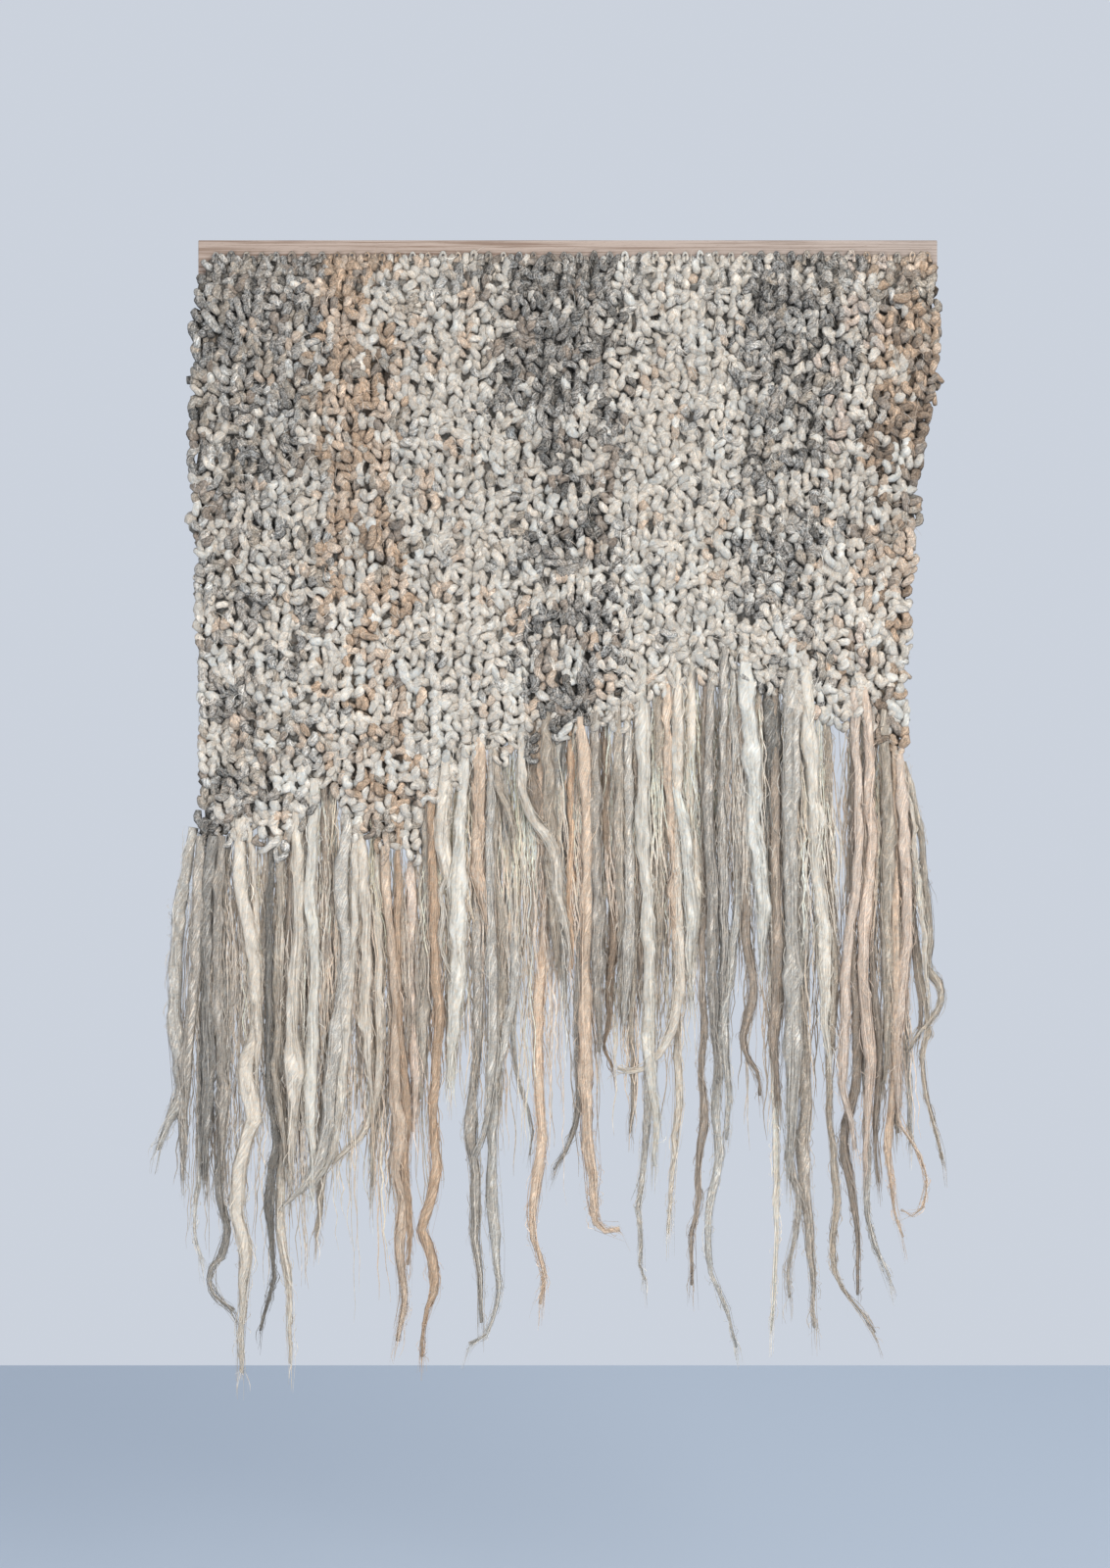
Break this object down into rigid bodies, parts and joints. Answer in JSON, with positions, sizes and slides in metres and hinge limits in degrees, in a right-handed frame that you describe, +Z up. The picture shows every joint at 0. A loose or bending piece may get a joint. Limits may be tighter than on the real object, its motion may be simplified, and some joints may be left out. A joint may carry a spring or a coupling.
{
  "type": "woven wall hanging on a wooden batten",
  "caption": "Chunky looped and knotted wool wall hanging with an uneven lower edge and a long fringe of unspun locks, hooked on nails along a plain wooden batten.",
  "frame": {"origin": "middle of the batten's back face, which lies against the wall", "axes": "+Z up, +X to the right seen from the front, +Y into the wall; the wool hangs on the -Y side"},
  "size_m": [0.9505, 0.044, 1.375],
  "materials": {
    "pine": "planed, bare",
    "nail": "dull",
    "wool": "matt, fibrous",
    "wool_locks": "matt, fibrous"
  },
  "bodies": {
    "root": {"hanging_board": "pine", "pin_01": "nail", "pin_02": "nail", "pin_03": "nail", "pin_04": "nail", "pin_05": "nail", "pin_06": "nail", "pin_07": "nail", "pin_08": "nail", "pin_09": "nail", "pin_10": "nail", "pin_11": "nail", "pin_12": "nail", "pin_13": "nail", "pin_14": "nail", "pin_15": "nail", "pin_16": "nail", "pin_17": "nail", "pin_18": "nail", "pin_19": "nail", "pin_20": "nail", "pin_21": "nail", "pin_22": "nail", "pin_23": "nail", "pin_24": "nail", "pin_25": "nail", "pin_26": "nail", "pin_27": "nail", "pin_28": "nail", "pin_29": "nail", "pin_30": "nail", "pin_31": "nail", "pin_32": "nail", "pin_33": "nail", "pin_34": "nail", "pin_35": "nail", "pin_36": "nail", "pin_37": "nail", "pin_38": "nail", "pin_39": "nail", "pin_40": "nail", "pin_41": "nail", "pin_42": "nail", "pin_43": "nail", "pin_44": "nail", "pin_45": "nail", "pin_46": "nail", "pin_47": "nail", "pin_48": "nail", "knotted_panel": "wool", "fringe_comb": "wool_locks"}
  },
  "joints": []
}
